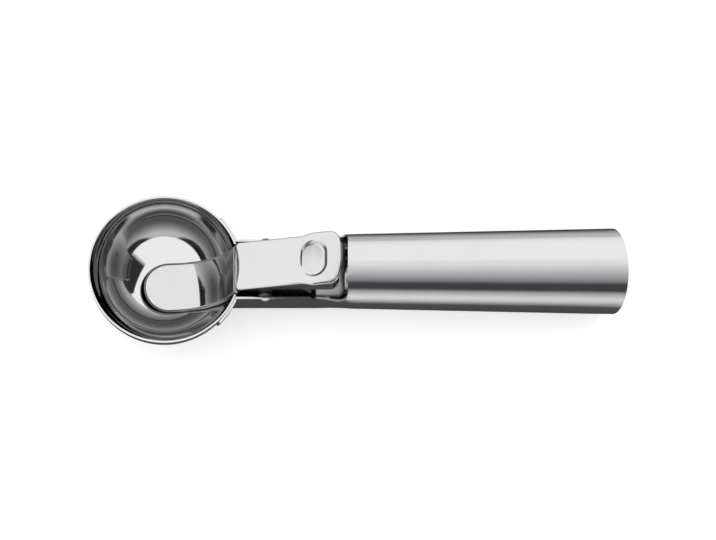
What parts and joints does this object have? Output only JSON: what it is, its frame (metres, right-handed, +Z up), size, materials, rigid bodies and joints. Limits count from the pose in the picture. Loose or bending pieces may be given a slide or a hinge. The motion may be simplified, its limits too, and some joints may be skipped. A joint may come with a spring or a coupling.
{
  "type": "ice cream scoop",
  "caption": "Lever ice cream scoop: notched round bowl on a hollow tapered handle, with a sprung thumb lever that swings a tongue up out of the bowl",
  "frame": {"origin": "under the middle of the scoop, at the height of the bowl's lowest point", "axes": "+X runs from the bowl to the end of the handle, +Z up out of the bowl, Y along the rivet"},
  "size_m": [0.2002, 0.0568, 0.0447],
  "materials": {
    "polished_steel": "mirror polished",
    "satin_steel": "satin",
    "spring_steel": "drawn wire",
    "grey_plastic": "moulded, matt"
  },
  "bodies": {
    "handle_body": {"bowl": "polished_steel", "handle": "satin_steel", "end_cap": "satin_steel", "handle_plug": "grey_plastic", "pivot_pin": "polished_steel", "pivot_bush": "satin_steel", "side_washers": "satin_steel", "return_spring": "spring_steel"},
    "lever_body": {"lever": "satin_steel", "ejector_blade": "polished_steel", "guide_block": "grey_plastic"}
  },
  "joints": [
    {"name": "lever_press", "type": "hinge", "parent": "handle_body", "child": "lever_body", "pos_m": [-0.03427, 0, 0.02533], "axis": [0, 1, 0], "range_deg": [0, 10.4], "stiffness_Nm_per_rad": 0.5, "springref_deg": -17.19, "deforming": ["return_spring"]}
  ]
}
